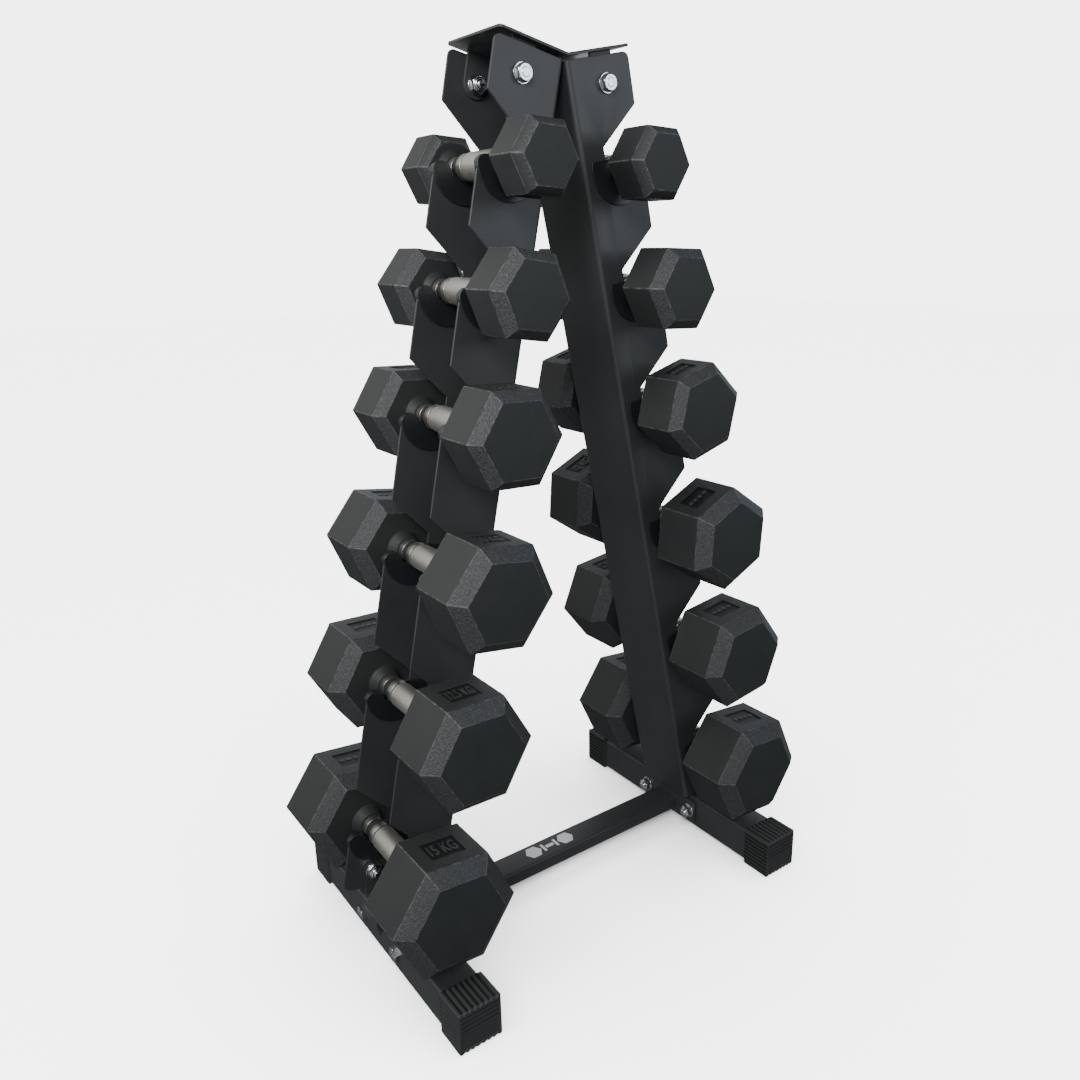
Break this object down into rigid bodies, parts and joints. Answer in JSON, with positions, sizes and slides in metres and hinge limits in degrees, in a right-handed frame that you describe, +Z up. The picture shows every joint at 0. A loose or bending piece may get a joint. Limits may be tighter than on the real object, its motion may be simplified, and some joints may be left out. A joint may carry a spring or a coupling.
{
  "type": "dumbbell rack",
  "caption": "Free-standing A-frame rack of folded steel channels on two square base rails, with lined cradles down both sides that carry hex dumbbells.",
  "frame": {"origin": "on the floor, under the middle of the rack", "axes": "+X towards the right bank, +Y along the handles away from the viewer, +Z up"},
  "size_m": [0.6506, 0.413, 1.0778],
  "materials": {
    "frame_steel": "satin black powder coat",
    "sheet_steel": "satin black powder coat",
    "cap_rubber": "ribbed moulded rubber",
    "liner_plastic": "smooth moulded plastic",
    "zinc": "bright zinc plate",
    "handle_chrome": "knurled chrome plate",
    "head_rubber": "moulded rubber with a pebbled bevel",
    "core_iron": "as cast"
  },
  "bodies": {
    "rack": {"base_rail_left": "frame_steel", "base_rail_right": "frame_steel", "crossbar": "frame_steel", "end_cap_left_front": "cap_rubber", "end_cap_left_back": "cap_rubber", "end_cap_right_front": "cap_rubber", "end_cap_right_back": "cap_rubber", "foot_bracket_left": "frame_steel", "foot_bracket_right": "frame_steel", "upright_left": "sheet_steel", "upright_right": "sheet_steel", "top_bracket": "sheet_steel", "cradle_liners_left": "liner_plastic", "cradle_liners_right": "liner_plastic", "top_bolts": "zinc", "top_washers": "zinc", "top_nuts": "zinc", "base_bolts": "zinc", "base_washers": "zinc", "base_nuts": "zinc", "foot_bolts": "zinc", "foot_washers": "zinc", "foot_nuts": "zinc"},
    "dumbbell_left_1": {"left_1_handle": "handle_chrome", "left_1_rubber": "head_rubber", "left_1_cores": "core_iron"},
    "dumbbell_left_2": {"left_2_handle": "handle_chrome", "left_2_rubber": "head_rubber", "left_2_cores": "core_iron"},
    "dumbbell_left_3": {"left_3_handle": "handle_chrome", "left_3_rubber": "head_rubber", "left_3_cores": "core_iron"},
    "dumbbell_left_4": {"left_4_handle": "handle_chrome", "left_4_rubber": "head_rubber", "left_4_cores": "core_iron"},
    "dumbbell_left_5": {"left_5_handle": "handle_chrome", "left_5_rubber": "head_rubber", "left_5_cores": "core_iron"},
    "dumbbell_left_6": {"left_6_handle": "handle_chrome", "left_6_rubber": "head_rubber", "left_6_cores": "core_iron"},
    "dumbbell_right_1": {"right_1_handle": "handle_chrome", "right_1_rubber": "head_rubber", "right_1_cores": "core_iron"},
    "dumbbell_right_2": {"right_2_handle": "handle_chrome", "right_2_rubber": "head_rubber", "right_2_cores": "core_iron"},
    "dumbbell_right_3": {"right_3_handle": "handle_chrome", "right_3_rubber": "head_rubber", "right_3_cores": "core_iron"},
    "dumbbell_right_4": {"right_4_handle": "handle_chrome", "right_4_rubber": "head_rubber", "right_4_cores": "core_iron"},
    "dumbbell_right_5": {"right_5_handle": "handle_chrome", "right_5_rubber": "head_rubber", "right_5_cores": "core_iron"},
    "dumbbell_right_6": {"right_6_handle": "handle_chrome", "right_6_rubber": "head_rubber", "right_6_cores": "core_iron"}
  },
  "joints": [
    {"name": "lift_left_1", "type": "slide", "parent": "rack", "child": "dumbbell_left_1", "axis": [-0.6428, 0, 0.766], "range_m": [0, 0.25]},
    {"name": "lift_left_2", "type": "slide", "parent": "rack", "child": "dumbbell_left_2", "axis": [-0.6428, 0, 0.766], "range_m": [0, 0.25]},
    {"name": "lift_left_3", "type": "slide", "parent": "rack", "child": "dumbbell_left_3", "axis": [-0.6428, 0, 0.766], "range_m": [0, 0.25]},
    {"name": "lift_left_4", "type": "slide", "parent": "rack", "child": "dumbbell_left_4", "axis": [-0.6428, 0, 0.766], "range_m": [0, 0.25]},
    {"name": "lift_left_5", "type": "slide", "parent": "rack", "child": "dumbbell_left_5", "axis": [-0.6428, 0, 0.766], "range_m": [0, 0.25]},
    {"name": "lift_left_6", "type": "slide", "parent": "rack", "child": "dumbbell_left_6", "axis": [-0.6428, 0, 0.766], "range_m": [0, 0.25]},
    {"name": "lift_right_1", "type": "slide", "parent": "rack", "child": "dumbbell_right_1", "axis": [0.6428, 0, 0.766], "range_m": [0, 0.25]},
    {"name": "lift_right_2", "type": "slide", "parent": "rack", "child": "dumbbell_right_2", "axis": [0.6428, 0, 0.766], "range_m": [0, 0.25]},
    {"name": "lift_right_3", "type": "slide", "parent": "rack", "child": "dumbbell_right_3", "axis": [0.6428, 0, 0.766], "range_m": [0, 0.25]},
    {"name": "lift_right_4", "type": "slide", "parent": "rack", "child": "dumbbell_right_4", "axis": [0.6428, 0, 0.766], "range_m": [0, 0.25]},
    {"name": "lift_right_5", "type": "slide", "parent": "rack", "child": "dumbbell_right_5", "axis": [0.6428, 0, 0.766], "range_m": [0, 0.25]},
    {"name": "lift_right_6", "type": "slide", "parent": "rack", "child": "dumbbell_right_6", "axis": [0.6428, 0, 0.766], "range_m": [0, 0.25]}
  ]
}
